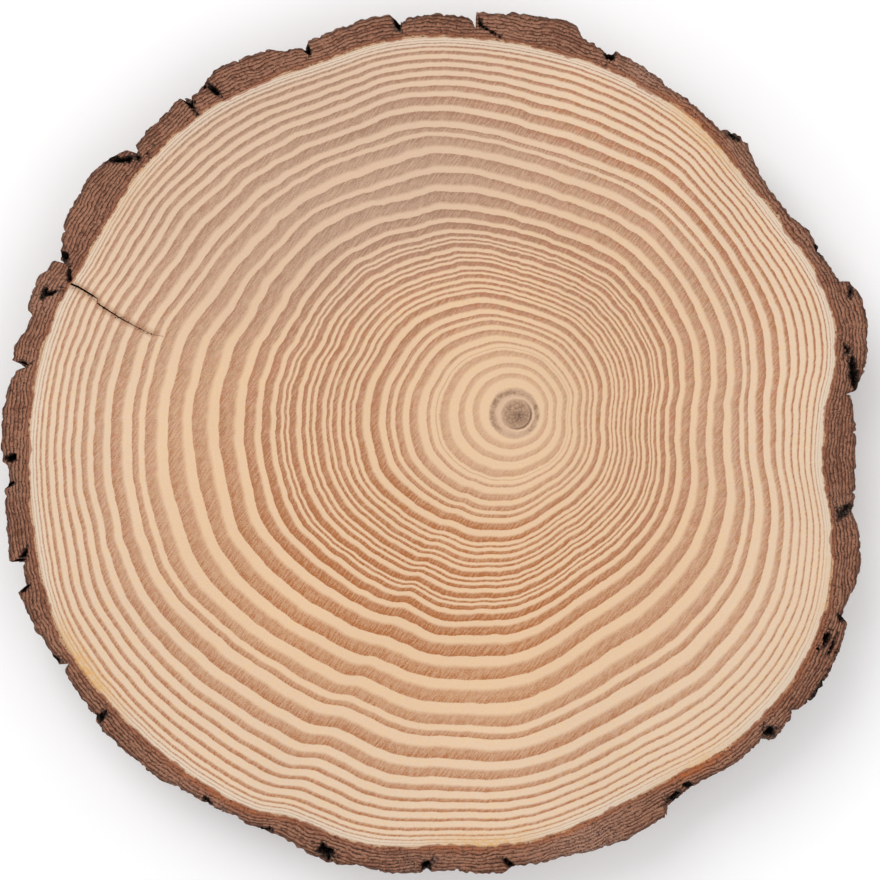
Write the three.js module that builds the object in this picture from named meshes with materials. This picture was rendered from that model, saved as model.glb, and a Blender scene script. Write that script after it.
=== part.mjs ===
// A slice sawn straight across a trunk: the wood with its bark still on.
// It grew as one piece, so it is one solid. It lies on its sawn underside with +Z up,
// and its origin is under the middle of its outline, on the surface that it rests on.
import * as THREE from 'three';

// Driving dimensions, in millimetres and degrees. Distances are measured from the pith.
const THICKNESS = 25;

// From the pith to the inner side of the bark: the places where that edge turns, in order
// round the slice from +X. The edge is a smooth curve through them.
const WOOD_EDGE = [
  { angle: 0, reach: 86.3 }, { angle: 9, reach: 90 }, { angle: 19, reach: 92 },
  { angle: 35, reach: 90 }, { angle: 46, reach: 90.7 }, { angle: 55, reach: 93.4 },
  { angle: 72, reach: 97 }, { angle: 90, reach: 101.3 }, { angle: 108, reach: 107.5 },
  { angle: 120, reach: 110.3 }, { angle: 136, reach: 118.8 }, { angle: 148, reach: 122.8 },
  { angle: 160, reach: 125.5 }, { angle: 167, reach: 129.3 }, { angle: 180, reach: 133.7 },
  { angle: 194, reach: 137 }, { angle: 206, reach: 140.2 }, { angle: 220, reach: 137.5 },
  { angle: 232, reach: 134.2 }, { angle: 237, reach: 132.3 }, { angle: 241, reach: 128.9 },
  { angle: 251, reach: 127.2 }, { angle: 261, reach: 122.4 }, { angle: 270, reach: 120.3 },
  { angle: 290, reach: 111.5 }, { angle: 304, reach: 110.2 }, { angle: 322, reach: 105 },
  { angle: 338, reach: 94.8 }, { angle: 349, reach: 87 },
];

// The bark's plates, in order round the slice. Each rises from the wood by these
// amounts at even steps between its two ends. A cleft is how much bark is left at the
// bottom of the gap after the plate; without one, the edge steps to the next plate.
const BARK_PLATES = [
  { from: 3.8, to: 20.2, rise: [7.5, 8.5, 8.6, 9.0, 9.7, 8.6, 7.0] },
  { from: 20.4, to: 26.5, rise: [5.3, 4.4, 3.9], cleft: 3.6 },
  { from: 28.2, to: 43.5, rise: [4.2, 5.0, 3.5, 3.3, 3.3, 3.6] },
  { from: 44.5, to: 53.6, rise: [4.0, 5.4, 6.6, 5.4, 3.3] },
  { from: 54.5, to: 65.0, rise: [2.9, 3.3, 3.9, 3.3] },
  { from: 66.0, to: 74.2, rise: [4.2, 5.1, 5.5], cleft: 3.9 },
  { from: 76.3, to: 79.6, rise: [4.8, 5.8] },
  { from: 80.6, to: 95.0, rise: [8.6, 9.5, 9.2, 8.9, 8.4, 7.8, 7.5], cleft: 2.8 },
  { from: 95.9, to: 106.4, rise: [5.1, 6.1, 6.8, 5.9, 5.3], cleft: 3.4 },
  { from: 107.6, to: 119.4, rise: [7.2, 7.6, 7.4, 7.2, 6.9], cleft: 4.4 },
  { from: 120.7, to: 123.2, rise: [5.9, 6.8] },
  { from: 123.8, to: 132.8, rise: [8.3, 8.3, 8.6, 9.1, 7.8] },
  { from: 134.0, to: 136.0, rise: [6.6, 5.2], cleft: 4.0 },
  { from: 137.1, to: 145.2, rise: [7.2, 6.5, 6.5, 5.6], cleft: 3.2 },
  { from: 146.5, to: 161.2, rise: [6.6, 9.6, 10.9, 10.3, 10.6, 9.2, 6.2], cleft: 3.7 },
  { from: 162.4, to: 168.4, rise: [7.4, 8.8, 8.6, 8.0] },
  { from: 168.9, to: 174.4, rise: [6.0, 6.3, 8.1, 8.0], cleft: 3.4 },
  { from: 175.6, to: 185.8, rise: [6.2, 7.7, 8.2, 7.8, 7.1] },
  { from: 186.3, to: 188.2, rise: [5.8, 5.3] },
  { from: 188.7, to: 196.4, rise: [6.9, 7.3, 7.8, 8.3], cleft: 3.6 },
  { from: 197.5, to: 199.8, rise: [4.6, 5.0] },
  { from: 200.2, to: 208.6, rise: [7.2, 6.5, 5.8, 5.2, 4.2], cleft: 1.8 },
  { from: 210.0, to: 216.2, rise: [3.8, 4.6, 5.0, 5.2] },
  { from: 217.3, to: 231.5, rise: [6.9, 6.4, 6.2, 5.8, 4.6, 3.9] },
  { from: 232.5, to: 246.3, rise: [4.0, 3.6, 4.6, 6.0, 7.2, 7.6] },
  { from: 248.2, to: 258.6, rise: [7.3, 6.4, 7.0, 7.5, 7.3], cleft: 6.4 },
  { from: 259.8, to: 268.8, rise: [7.1, 6.8, 7.5, 7.5], cleft: 6.2 },
  { from: 270.2, to: 290.3, rise: [6.2, 7.0, 6.8, 7.8, 8.6, 9.6, 9.3, 9.0] },
  { from: 290.8, to: 294.2, rise: [6.3, 5.1] },
  { from: 295.0, to: 306.8, rise: [4.7, 4.4, 4.8, 5.0, 4.7], cleft: 4.2 },
  { from: 308.4, to: 312.0, rise: [6.9, 6.1], cleft: 4.8 },
  { from: 313.4, to: 326.6, rise: [6.2, 7.7, 7.9, 7.8, 7.7, 7.2], cleft: 5.2 },
  { from: 328.0, to: 341.4, rise: [5.3, 6.6, 8.0, 8.6, 8.3, 8.0], cleft: 6.6 },
  { from: 344.6, to: 362.6, rise: [8.0, 9.0, 9.4, 8.9, 7.9, 6.4], cleft: 4.6 },
];

// The drying crack runs in from the cleft after this plate, and steps sideways once.
// Each place on it has its angle, its distance beyond the wood's edge and its width.
const CRACKED_PLATE = 14;
const CRACK = [
  { angle: 163.4, rise: 2.2, width: 0.7 },
  { angle: 164.2, rise: 0, width: 0.6 },
  { angle: 165.1, rise: -9.6, width: 0.5 },
  { angle: 165.8, rise: -10.6, width: 0.4 },
  { angle: 167.6, rise: -23.6, width: 0 },
];

// The bark is worn back a little between the two sawn faces.
const LAYERS = 4;
const BARK_WEAR = 0.07;
const WEAR_WAVES = 23;

const FULL_TURN = 360;

// A place on the wood's edge. The list runs on past its ends, a full turn further on.
function edgePlace(index) {
  const count = WOOD_EDGE.length;
  const { angle, reach } = WOOD_EDGE[(index + count) % count];
  return { angle: angle + FULL_TURN * Math.floor(index / count), reach };
}

// How fast the edge moves outwards at one of its places, in millimetres per degree.
function edgeSlope(index) {
  const before = edgePlace(index - 1);
  const after = edgePlace(index + 1);
  return (after.reach - before.reach) / (after.angle - before.angle);
}

// How far the wood reaches from the pith at any angle.
function woodReach(angle) {
  const turned = ((angle % FULL_TURN) + FULL_TURN) % FULL_TURN;
  const start = WOOD_EDGE.filter((place) => place.angle <= turned).length - 1;
  const here = edgePlace(start);
  const there = edgePlace(start + 1);
  const span = there.angle - here.angle;
  const t = (turned - here.angle) / span;
  const slopeIn = edgeSlope(start) * span;
  const slopeOut = edgeSlope(start + 1) * span;
  const drop = here.reach - there.reach;
  return here.reach + slopeIn * t
    - (3 * drop + 2 * slopeIn + slopeOut) * t ** 2
    + (2 * drop + slopeIn + slopeOut) * t ** 3;
}

// A point at an angle, a given distance beyond the edge of the wood.
function edgePoint(angle, rise) {
  const turn = THREE.MathUtils.degToRad(angle);
  const reach = woodReach(angle) + rise;
  return new THREE.Vector2(reach * Math.cos(turn), reach * Math.sin(turn));
}

// One side of the crack is walked inwards and the other back out.
function crackPoints() {
  const middle = CRACK.map(({ angle, rise }) => edgePoint(angle, rise));
  const sideways = middle.map((point, index) => {
    const before = middle[Math.max(index - 1, 0)];
    const after = middle[Math.min(index + 1, middle.length - 1)];
    const along = after.clone().sub(before).normalize();
    return new THREE.Vector2(along.y, -along.x).multiplyScalar(CRACK[index].width / 2);
  });
  const tip = middle.length - 1;
  const inwards = middle.map((point, index) => point.clone().add(sideways[index]));
  const outwards = middle.map((point, index) => point.clone().sub(sideways[index]));
  return [...inwards, ...outwards.slice(0, tip).reverse()];
}

// The outline of the slice: plate after plate, with the gaps between them.
function slicePoints() {
  return BARK_PLATES.flatMap((plate, index) => {
    const gaps = plate.rise.length - 1;
    const points = plate.rise.map((rise, step) => (
      edgePoint(plate.from + ((plate.to - plate.from) * step) / gaps, rise)
    ));
    if (plate.cleft) {
      const following = BARK_PLATES[(index + 1) % BARK_PLATES.length];
      const nextStart = following.from + (following.from < plate.from ? FULL_TURN : 0);
      points.push(edgePoint((plate.to + nextStart) / 2, plate.cleft));
    }
    if (index === CRACKED_PLATE) points.push(...crackPoints());
    return points;
  });
}

// Wears the bark back between the sawn faces, more in some places than in others.
function wearBark(geometry) {
  const positions = geometry.getAttribute('position');
  const point = new THREE.Vector3();
  for (let index = 0; index < positions.count; index += 1) {
    point.fromBufferAttribute(positions, index);
    const turn = Math.atan2(point.y, point.x);
    const reach = Math.hypot(point.x, point.y);
    const wood = woodReach(THREE.MathUtils.radToDeg(turn));
    const height = point.z / THICKNESS;
    const waves = 1 + Math.sin(WEAR_WAVES * turn + Math.PI * height);
    const wear = BARK_WEAR * Math.sin(Math.PI * height) * waves;
    const worn = wood + Math.max(reach - wood, 0) * (1 - wear);
    const scale = Math.min(worn, reach) / reach;
    positions.setXYZ(index, point.x * scale, point.y * scale, point.z);
  }
}

function woodSlice() {
  const points = slicePoints();
  const middle = new THREE.Box2().setFromPoints(points).getCenter(new THREE.Vector2());
  const geometry = new THREE.ExtrudeGeometry(new THREE.Shape(points), {
    depth: THICKNESS,
    steps: LAYERS,
    bevelEnabled: false,
  });
  wearBark(geometry);
  geometry.translate(-middle.x, -middle.y, 0);
  const material = new THREE.MeshStandardMaterial({
    color: 0xd9b48a,
    roughness: 0.75,
    metalness: 0,
  });
  const mesh = new THREE.Mesh(geometry, material);
  mesh.name = 'wood_slice';
  return mesh;
}

const slice = new THREE.Group();
slice.add(woodSlice());

export default slice;
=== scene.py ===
"""A slice sawn straight across a trunk, with its bark on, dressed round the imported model.

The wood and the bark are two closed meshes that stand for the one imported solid. The
rows of the wood's mesh follow its growth rings, so every vertex knows the year it grew
in, and the finish reads that. The bark's mesh runs round the slice in rows as well, over
its sawn ends and down its flaky outside. Sizes in the classes are millimetres and
degrees from +X, measured from the pith; meshes are written in metres.
"""
import logging
import math
from collections.abc import Callable
from dataclasses import dataclass, field
from enum import Enum
from typing import ClassVar

import bpy
import numpy as np
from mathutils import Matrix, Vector


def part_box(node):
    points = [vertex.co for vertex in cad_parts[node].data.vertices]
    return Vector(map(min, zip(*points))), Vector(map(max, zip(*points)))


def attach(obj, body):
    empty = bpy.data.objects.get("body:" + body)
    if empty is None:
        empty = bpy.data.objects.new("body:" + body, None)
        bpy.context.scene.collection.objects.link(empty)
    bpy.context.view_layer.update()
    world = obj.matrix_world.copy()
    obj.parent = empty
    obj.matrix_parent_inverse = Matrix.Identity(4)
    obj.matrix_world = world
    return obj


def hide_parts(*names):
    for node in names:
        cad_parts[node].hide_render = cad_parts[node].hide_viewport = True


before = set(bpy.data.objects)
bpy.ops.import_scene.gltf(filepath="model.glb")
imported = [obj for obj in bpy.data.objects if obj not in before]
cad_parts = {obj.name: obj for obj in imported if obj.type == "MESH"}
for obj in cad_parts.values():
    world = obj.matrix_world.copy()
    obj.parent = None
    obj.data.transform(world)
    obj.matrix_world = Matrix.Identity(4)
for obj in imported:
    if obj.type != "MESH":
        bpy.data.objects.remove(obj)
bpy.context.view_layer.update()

NODE = "wood_slice"
BODY = "root"
MM = 0.001
FULL_TURN = 360.0
UV_NAME = "OFBake"

log = logging.getLogger("wood_slice")


@dataclass(frozen=True)
class EdgePlace:
    """A place where the wood's edge turns: its angle, and how far from the pith it lies."""

    angle: float
    reach: float


# The inner side of the bark, in order round the slice from +X, as a smooth curve through these.
WOOD_EDGE = (
    EdgePlace(0, 86.3), EdgePlace(9, 90), EdgePlace(19, 92), EdgePlace(35, 90),
    EdgePlace(46, 90.7), EdgePlace(55, 93.4), EdgePlace(72, 97), EdgePlace(90, 101.3),
    EdgePlace(108, 107.5), EdgePlace(120, 110.3), EdgePlace(136, 118.8), EdgePlace(148, 122.8),
    EdgePlace(160, 125.5), EdgePlace(167, 129.3), EdgePlace(180, 133.7), EdgePlace(194, 137),
    EdgePlace(206, 140.2), EdgePlace(220, 137.5), EdgePlace(232, 134.2), EdgePlace(237, 132.3),
    EdgePlace(241, 128.9), EdgePlace(251, 127.2), EdgePlace(261, 122.4), EdgePlace(270, 120.3),
    EdgePlace(290, 111.5), EdgePlace(304, 110.2), EdgePlace(322, 105), EdgePlace(338, 94.8),
    EdgePlace(349, 87),
)


def smooth(low: float | np.ndarray, high: float | np.ndarray, value: np.ndarray) -> np.ndarray:
    """Rise smoothly from 0 to 1.

    Args:
        low: Where the rise starts.
        high: Where it ends.
        value: Where it is asked for.

    Returns:
        The rise at each value.
    """
    t = np.clip((value - low) / (high - low), 0.0, 1.0)
    return t * t * (3.0 - 2.0 * t)


def turned(angle: np.ndarray, centre: float) -> np.ndarray:
    """Return how far each angle lies from a centre, from -180 to 180 degrees."""
    return (angle - centre + FULL_TURN / 2) % FULL_TURN - FULL_TURN / 2


def lobe(angle: np.ndarray, centre: float, width: float) -> np.ndarray:
    """Return a soft bump, 1 at the centre angle and fading over the width."""
    return np.exp(-((turned(angle, centre) / width) ** 2))


def closed_curve(places: tuple[EdgePlace, ...], angle: np.ndarray) -> np.ndarray:
    """Follow a smooth closed curve through the places of an edge.

    Args:
        places: The places, in order round from +X.
        angle: Where the curve is asked for, in degrees.

    Returns:
        The distance from the pith at each angle.
    """
    angles = np.array([place.angle for place in places])
    around = np.concatenate([angles[-1:] - FULL_TURN, angles, angles[:2] + FULL_TURN])
    reaches = np.array([places[-1].reach, *(place.reach for place in places + places[:2])])
    slopes = (reaches[2:] - reaches[:-2]) / (around[2:] - around[:-2])
    asked = np.asarray(angle) % FULL_TURN
    start = np.searchsorted(angles, asked, side="right")
    span = around[start + 1] - around[start]
    t = (asked - around[start]) / span
    slope_in = slopes[start - 1] * span
    slope_out = slopes[start] * span
    drop = reaches[start] - reaches[start + 1]
    cubic = 2 * drop + slope_in + slope_out
    square = 3 * drop + 2 * slope_in + slope_out
    return reaches[start] + slope_in * t - square * t**2 + cubic * t**3


class Noise:
    """Smooth random relief in three dimensions, the same on every run."""

    LATTICE = 256
    GAIN = 1.6
    LAYER_SHIFT = 7.3
    LAYER_SUM = 1.5

    def __init__(self, seed: int) -> None:
        """Shuffle the lattice.

        Args:
            seed: Which relief to make.
        """
        random = np.random.default_rng(seed)
        self.order = np.tile(random.permutation(self.LATTICE), 2)
        slopes = random.normal(size=(self.LATTICE, 3))
        self.slopes = slopes / np.linalg.norm(slopes, axis=1, keepdims=True)

    def at(self, points: np.ndarray) -> np.ndarray:
        """Read the relief.

        Args:
            points: Places, with their three coordinates along the last axis.

        Returns:
            Values from about -1 to 1.
        """
        cell = np.floor(points).astype(int)
        local = points - cell
        fade = local**3 * (local * (local * 6 - 15) + 10)
        total = np.zeros(points.shape[:-1])
        for corner in np.ndindex(2, 2, 2):
            spot = (cell + corner) % self.LATTICE
            index = self.order[self.order[self.order[spot[..., 0]] + spot[..., 1]] + spot[..., 2]]
            weight = np.prod(np.where(np.array(corner) == 1, fade, 1 - fade), axis=-1)
            total += weight * np.sum(self.slopes[index] * (local - corner), axis=-1)
        return self.GAIN * total

    def layered(self, points: np.ndarray, octaves: int) -> np.ndarray:
        """Add finer and finer relief.

        Args:
            points: Places, with their three coordinates along the last axis.
            octaves: How many layers to add.

        Returns:
            Values from about -1 to 1.
        """
        layers = [
            self.at(points * 2.0**level + self.LAYER_SHIFT * level) * 0.5**level
            for level in range(octaves)
        ]
        return sum(layers) / self.LAYER_SUM


@dataclass(frozen=True)
class BarkPlate:
    """One plate of bark and the gap after it."""

    start: float
    end: float
    rise: tuple[float, ...]
    cleft: float | None = None


BARK_PLATES = (
    BarkPlate(3.8, 20.2, (7.5, 8.5, 8.6, 9.0, 9.7, 8.6, 7.0)),
    BarkPlate(20.4, 26.5, (5.3, 4.4, 3.9), 3.6),
    BarkPlate(28.2, 43.5, (4.2, 5.0, 3.5, 3.3, 3.3, 3.6)),
    BarkPlate(44.5, 53.6, (4.0, 5.4, 6.6, 5.4, 3.3)),
    BarkPlate(54.5, 65.0, (2.9, 3.3, 3.9, 3.3)),
    BarkPlate(66.0, 74.2, (4.2, 5.1, 5.5), 3.9),
    BarkPlate(76.3, 79.6, (4.8, 5.8)),
    BarkPlate(80.6, 95.0, (8.6, 9.5, 9.2, 8.9, 8.4, 7.8, 7.5), 2.8),
    BarkPlate(95.9, 106.4, (5.1, 6.1, 6.8, 5.9, 5.3), 3.4),
    BarkPlate(107.6, 119.4, (7.2, 7.6, 7.4, 7.2, 6.9), 4.4),
    BarkPlate(120.7, 123.2, (5.9, 6.8)),
    BarkPlate(123.8, 132.8, (8.3, 8.3, 8.6, 9.1, 7.8)),
    BarkPlate(134.0, 136.0, (6.6, 5.2), 4.0),
    BarkPlate(137.1, 145.2, (7.2, 6.5, 6.5, 5.6), 3.2),
    BarkPlate(146.5, 161.2, (6.6, 9.6, 10.9, 10.3, 10.6, 9.2, 6.2), 3.7),
    BarkPlate(162.4, 168.4, (7.4, 8.8, 8.6, 8.0)),
    BarkPlate(168.9, 174.4, (6.0, 6.3, 8.1, 8.0), 3.4),
    BarkPlate(175.6, 185.8, (6.2, 7.7, 8.2, 7.8, 7.1)),
    BarkPlate(186.3, 188.2, (5.8, 5.3)),
    BarkPlate(188.7, 196.4, (6.9, 7.3, 7.8, 8.3), 3.6),
    BarkPlate(197.5, 199.8, (4.6, 5.0)),
    BarkPlate(200.2, 208.6, (7.2, 6.5, 5.8, 5.2, 4.2), 1.8),
    BarkPlate(210.0, 216.2, (3.8, 4.6, 5.0, 5.2)),
    BarkPlate(217.3, 231.5, (6.9, 6.4, 6.2, 5.8, 4.6, 3.9)),
    BarkPlate(232.5, 246.3, (4.0, 3.6, 4.6, 6.0, 7.2, 7.6)),
    BarkPlate(248.2, 258.6, (7.3, 6.4, 7.0, 7.5, 7.3), 6.4),
    BarkPlate(259.8, 268.8, (7.1, 6.8, 7.5, 7.5), 6.2),
    BarkPlate(270.2, 290.3, (6.2, 7.0, 6.8, 7.8, 8.6, 9.6, 9.3, 9.0)),
    BarkPlate(290.8, 294.2, (6.3, 5.1)),
    BarkPlate(295.0, 306.8, (4.7, 4.4, 4.8, 5.0, 4.7), 4.2),
    BarkPlate(308.4, 312.0, (6.9, 6.1), 4.8),
    BarkPlate(313.4, 326.6, (6.2, 7.7, 7.9, 7.8, 7.7, 7.2), 5.2),
    BarkPlate(328.0, 341.4, (5.3, 6.6, 8.0, 8.6, 8.3, 8.0), 6.6),
    BarkPlate(344.6, 362.6, (8.0, 9.0, 9.4, 8.9, 7.9, 6.4), 4.6),
)


@dataclass(frozen=True)
class Outline:
    """The edge of the slice: how far the wood reaches and the bark on top of that."""

    edge: tuple[EdgePlace, ...] = WOOD_EDGE
    plates: tuple[BarkPlate, ...] = BARK_PLATES

    def wood(self, angle: np.ndarray) -> np.ndarray:
        """Return how far the wood reaches from the pith at each angle."""
        return closed_curve(self.edge, angle)

    def corners(self) -> tuple[np.ndarray, np.ndarray]:
        """List the bark's corners, plate after plate.

        Returns:
            Their angles and how far each rises from the wood.
        """
        angles: list[float] = []
        rises: list[float] = []
        for plate, following in zip(self.plates, self.plates[1:] + self.plates[:1]):
            angles.extend(np.linspace(plate.start, plate.end, len(plate.rise)))
            rises.extend(plate.rise)
            if plate.cleft is not None:
                next_start = following.start + (FULL_TURN if following.start < plate.start else 0.0)
                angles.append((plate.end + next_start) / 2)
                rises.append(plate.cleft)
        return np.array(angles), np.array(rises)

    def bark(self, angle: np.ndarray) -> np.ndarray:
        """Return how far the bark rises from the wood at each angle."""
        angles, rises = self.corners()
        return np.interp(angle, angles, rises, period=FULL_TURN)

    def pith(self) -> np.ndarray:
        """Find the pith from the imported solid's box and this outline.

        Returns:
            Its X and Y in millimetres, in the frame.
        """
        angles, rises = self.corners()
        turn = np.radians(angles)
        distance = self.wood(angles) + rises
        lowest = np.array([(distance * np.cos(turn)).min(), (distance * np.sin(turn)).min()])
        box_low = np.array(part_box(NODE)[0][:2]) / MM
        return box_low - lowest


@dataclass(frozen=True)
class Year:
    """One year's growth: where it ends on the widest side, and its dark late wood.

    The late share is the part of the year's width that is dark, and the tone says how
    dark that part is.
    """

    ends: float
    late: float
    tone: float


YEARS = (
    Year(6.9, 0.30, 0.20), Year(11.8, 0.40, 0.50), Year(15.6, 0.48, 0.56),
    Year(20.9, 0.50, 0.62), Year(21.9, 0.34, 0.50), Year(24.4, 0.58, 0.72),
    Year(29.3, 0.52, 0.70), Year(33.2, 0.55, 0.74), Year(35.7, 0.58, 0.78),
    Year(40.1, 0.57, 0.84), Year(44.2, 0.50, 0.86), Year(45.9, 0.50, 0.84),
    Year(48.2, 0.60, 0.88), Year(50.8, 0.55, 0.84), Year(52.4, 0.66, 0.92),
    Year(55.5, 0.52, 0.96), Year(57.2, 0.56, 0.92), Year(59.3, 0.60, 0.98),
    Year(62.7, 0.55, 0.96), Year(64.1, 0.64, 0.90), Year(66.4, 0.62, 1.00),
    Year(70.4, 0.62, 0.98), Year(75.2, 0.64, 0.92), Year(82.0, 0.62, 0.86),
    Year(89.3, 0.60, 0.80), Year(96.5, 0.62, 0.80), Year(103.2, 0.55, 0.78),
    Year(106.6, 0.58, 0.86), Year(112.3, 0.56, 0.88), Year(116.7, 0.60, 0.82),
    Year(119.7, 0.44, 0.84), Year(122.3, 0.40, 0.88), Year(124.7, 0.38, 0.84),
    Year(127.0, 0.35, 0.86), Year(129.4, 0.40, 0.84), Year(130.9, 0.45, 0.92),
    Year(132.0, 0.40, 0.90), Year(132.8, 0.44, 0.85), Year(133.7, 0.40, 0.70),
)


@dataclass(frozen=True)
class Hollow:
    """A stretch where the rings lie nearer the pith than the wood's edge would have them.

    The depth is a share of a ring's reach. The hollow opens and fades again on the way
    from the pith to the edge, and the last three sizes are shares of that way.
    """

    angle: float
    width: float
    depth: float
    opens: float
    whole: float
    fades: float

    def at(self, angle: np.ndarray, share: np.ndarray) -> np.ndarray:
        """Return how deep the hollow is, for angles and for shares of the way to the edge."""
        opening = smooth(self.opens, self.whole, share)
        fading = 1 - smooth(self.fades, 1.0, share)
        return self.depth * lobe(angle, self.angle, self.width) * opening * fading


HOLLOWS = (
    Hollow(15, 20, 0.048, opens=0.1, whole=0.3, fades=0.80),
    Hollow(80, 30, 0.064, opens=0.1, whole=0.3, fades=0.80),
    Hollow(140, 24, 0.040, opens=0.6, whole=0.72, fades=0.84),
    Hollow(232, 30, 0.080, opens=0.1, whole=0.3, fades=0.78),
    Hollow(305, 42, 0.118, opens=0.1, whole=0.3, fades=0.60),
)


@dataclass(frozen=True)
class GrowthRings:
    """The rings of the wood: round at the pith, and more and more like its edge outwards."""

    edge: tuple[EdgePlace, ...] = WOOD_EDGE
    years: tuple[Year, ...] = YEARS
    hollows: tuple[Hollow, ...] = HOLLOWS
    round_core: float = 14.0
    core_sharpness: float = 1.5
    wave_heights: tuple[float, ...] = (0.65, 0.40, 0.18)
    wave_counts: tuple[float, ...] = (7.0, 15.0, 34.0)
    wave_reach: float = 16.0

    def rows(self, widest_gap: float, extra: np.ndarray) -> tuple[np.ndarray, np.ndarray]:
        """Choose the rows of the mesh: every year's end, and more inside wide years.

        Args:
            widest_gap: The most that two rows may lie apart on the widest side.
            extra: Reaches on the widest side that need rows of their own.

        Returns:
            Each row's age in years and its reach on the widest side.
        """
        ages: list[float] = []
        reaches: list[float] = []
        start = 0.0
        for index, year in enumerate(self.years):
            parts = max(1, round((year.ends - start) / widest_gap))
            for part in range(1, parts + 1):
                ages.append(index + part / parts)
                reaches.append(start + (year.ends - start) * part / parts)
            start = year.ends
        every = np.sort(np.array([*reaches, *extra]))
        return np.interp(every, reaches, ages), every

    def radius(self, reach: np.ndarray, angle: np.ndarray) -> np.ndarray:
        """Work out how far rings lie from the pith.

        Args:
            reach: How far each ring reaches on the widest side, one for each row.
            angle: The angle of every vertex, row by row.

        Returns:
            The distance from the pith of every vertex.
        """
        widest = self.years[-1].ends
        share = (reach / widest)[:, None]
        uneven = closed_curve(self.edge, angle) / widest - 1.0
        uneven = uneven - sum(hollow.at(angle, share) for hollow in self.hollows)
        grown = 1.0 - np.exp(-((reach / self.round_core) ** self.core_sharpness))
        return reach[:, None] * (1.0 + uneven * grown[:, None]) + self.waves(reach, angle)

    def reach_of(self, depths: tuple[float, ...], angle: float) -> np.ndarray:
        """Find the rings that lie at given depths inside the wood's edge.

        Args:
            depths: The depths, all in the outer half of the wood.
            angle: Where round the slice the depths are measured.

        Returns:
            How far those rings reach on the widest side.
        """
        reaches = np.linspace(0.5, 1.0, 400) * self.years[-1].ends
        radius = self.radius(reaches, np.full((len(reaches), 1), angle))[:, 0]
        inside = closed_curve(self.edge, np.array(angle)) - radius
        return np.interp(depths, inside[::-1], reaches[::-1])

    def waves(self, reach: np.ndarray, angle: np.ndarray) -> np.ndarray:
        """Work out the fine waves of the rings, which run on from ring to ring.

        Args:
            reach: How far each ring reaches on the widest side, one for each row.
            angle: The angle of every vertex, row by row.

        Returns:
            How far each vertex moves outwards.
        """
        turn = np.radians(angle)
        depth = np.broadcast_to(reach[:, None] / self.wave_reach, angle.shape)
        edge = self.years[-1].ends
        moved = np.zeros_like(angle)
        for seed, (count, height) in enumerate(zip(self.wave_counts, self.wave_heights)):
            round_it = [count * np.cos(turn), count * np.sin(turn), depth]
            moved += height * Noise(11 + seed).at(np.stack(round_it, axis=-1))
        fading = smooth(0.15 * edge, 0.6 * edge, reach) * (1 - smooth(0.93 * edge, edge, reach))
        return moved * fading[:, None] * (0.3 + 0.7 * lobe(angle, 170, 110))


@dataclass(frozen=True)
class CrackPoint:
    """One point of the drying crack: its angle, its depth inside the edge and its width there."""

    angle: float
    depth: float
    width: float


@dataclass(frozen=True)
class DryingCrack:
    """The crack that runs in from the bark, with one sideways step on its way."""

    points: tuple[CrackPoint, ...] = (
        CrackPoint(164.0, -3.0, 0.70), CrackPoint(164.35, 3.0, 0.50), CrackPoint(165.0, 8.2, 0.50),
        CrackPoint(165.1, 9.0, 0.14), CrackPoint(165.7, 9.4, 0.14), CrackPoint(165.85, 10.4, 0.42),
        CrackPoint(166.9, 17.0, 0.42), CrackPoint(168.2, 26.5, 0.12), CrackPoint(168.5, 28.5, 0.05),
    )
    step_depths: tuple[float, ...] = (9.0, 9.35)
    step_angle: float = 165.4
    home: float = 166.0
    drag: float = 4.5
    fade: float = 9.0
    distance: float = 125.0
    deepest: float = 5.0
    steepness: float = 12.0
    shallowest: float = 0.6
    # The share of the crack's painted shade that the columns beside it get.
    lip_shade: float = 0.4

    def bend(self, angle: np.ndarray, depth: np.ndarray, step: float) -> tuple[np.ndarray, np.ndarray]:
        """Gather columns of vertices along the crack.

        Args:
            angle: The columns' angles, row by row.
            depth: How far inside the wood's edge each vertex lies.
            step: The angle between two columns.

        Returns:
            The columns' new angles, and how far the wood opens downwards at each vertex.
        """
        depths = [point.depth for point in self.points]
        middle = np.interp(depth, depths, [point.angle for point in self.points])
        width = np.interp(depth, depths, [point.width for point in self.points])
        fading = 1 - smooth(depths[-1], depths[-1] + self.fade, depth)
        away = turned(angle, self.home)
        shift = (middle - self.home) * fading
        pull = np.clip(1 - (away / self.drag) ** 2, 0, 1) ** 2
        bent = angle + shift * pull
        beside = np.round(away / step)
        half = np.degrees(width / 2 / self.distance)
        gathered = self.home + shift + beside * (step + (half - step) * fading)
        bent = np.where(np.abs(beside) == 1, gathered, bent)
        open_here = (depth < depths[-1]) & (beside == 0)
        opening = np.where(open_here, np.minimum(self.deepest, width * self.steepness), 0.0)
        return bent, opening


@dataclass(frozen=True)
class Patch:
    """A patch of the bark with a look of its own, fading out over its width."""

    angle: float
    width: float
    amount: float


def patched(patches: tuple[Patch, ...], angle: np.ndarray) -> np.ndarray:
    """Add up patches round the slice.

    Args:
        patches: The patches.
        angle: Where they are asked for.

    Returns:
        Their summed amount at each angle.
    """
    return sum(patch.amount * lobe(angle, patch.angle, patch.width) for patch in patches)


# Where the wood just inside the bark is yellow with sap.
SAPPY_PATCHES = (
    Patch(55.0, 8.0, 0.7), Patch(211.0, 6.0, 1.0), Patch(266.0, 7.0, 0.8),
    Patch(297.0, 6.0, 0.5), Patch(152.0, 8.0, 0.3), Patch(330.0, 10.0, 0.25),
)


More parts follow.
